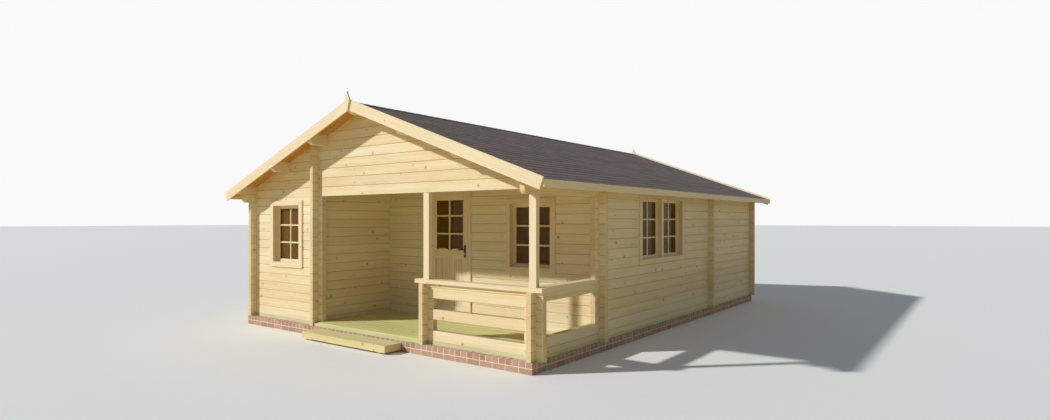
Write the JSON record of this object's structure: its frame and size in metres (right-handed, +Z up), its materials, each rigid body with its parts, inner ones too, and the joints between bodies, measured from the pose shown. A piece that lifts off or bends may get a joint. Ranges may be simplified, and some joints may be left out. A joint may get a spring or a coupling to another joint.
{
  "type": "log cabin",
  "caption": "Log cabin with interlocking corners, recessed veranda with log balustrade, side room, rear room, hinged glazed door and overhanging pitched roof.",
  "frame": {"origin": "on the ground under the front wall's outer face, below the ridge line; it lies on the underside of the brick plinth", "axes": "+X to the right seen from the front, +Y into the building along the ridge, +Z up"},
  "size_m": [6.67, 8.847, 3.584],
  "materials": {
    "spruce_logs": "planed untreated spruce logs, new and pale",
    "spruce_joinery": "planed untreated spruce joinery",
    "spruce_boards": "planed tongued spruce boards",
    "treated_timber": "pressure treated, pale green",
    "hardwood": "oiled hardwood threshold",
    "red_brick": "red facing bricks with pale mortar",
    "roofing_felt": "mineral bitumen roofing, dark grey brown",
    "window_glass": "clear glass",
    "dark_metal": "dark coated handle",
    "zinc_steel": "zinc plated hinges"
  },
  "bodies": {
    "cabin": {"balustrade_front": "spruce_logs", "balustrade_side": "spruce_logs", "balustrade_stub": "spruce_logs", "base_beams_across": "treated_timber", "base_beams_along": "treated_timber", "brick_plinth": "red_brick", "corner_post": "spruce_logs", "door_frame": "spruce_joinery", "eave_fascias": "spruce_joinery", "entrance_step": "treated_timber", "finials": "spruce_joinery", "floor": "spruce_boards", "front_barge_board_left": "spruce_joinery", "front_barge_board_right": "spruce_joinery", "front_gable": "spruce_logs", "front_wall": "spruce_logs", "front_window": "spruce_joinery", "handrail_front": "spruce_joinery", "handrail_side": "spruce_joinery", "hinge_pins": "zinc_steel", "left_wall": "spruce_logs", "left_wall_plate": "spruce_logs", "left_window": "spruce_joinery", "middle_veranda_post": "spruce_logs", "partition_gable": "spruce_logs", "partition_walls": "spruce_logs", "purlins": "spruce_logs", "rear_barge_board_left": "spruce_joinery", "rear_barge_board_right": "spruce_joinery", "rear_gable": "spruce_logs", "rear_wall": "spruce_logs", "rear_window": "spruce_joinery", "ridge_beam": "spruce_logs", "right_wall": "spruce_logs", "right_wall_plate": "spruce_logs", "right_window": "spruce_joinery", "roof_boards_left": "spruce_boards", "roof_boards_right": "spruce_boards", "roof_cover_left": "roofing_felt", "roof_cover_right": "roofing_felt", "side_room_wall": "spruce_logs", "threshold": "hardwood", "veranda_deck": "treated_timber", "veranda_gable": "spruce_logs", "veranda_wall_left": "spruce_logs", "veranda_wall_right": "spruce_logs", "veranda_window": "spruce_joinery", "window_glass": "window_glass"},
    "door": {"door_leaf": "spruce_joinery", "door_glass": "window_glass", "door_handle": "dark_metal", "hinge_barrels": "zinc_steel"}
  },
  "joints": [
    {"name": "front_door", "type": "hinge", "parent": "cabin", "child": "door", "pos_m": [-0.1465, 1.446, 1.2], "axis": [0, 0, -1], "range_deg": [0, 110]}
  ]
}
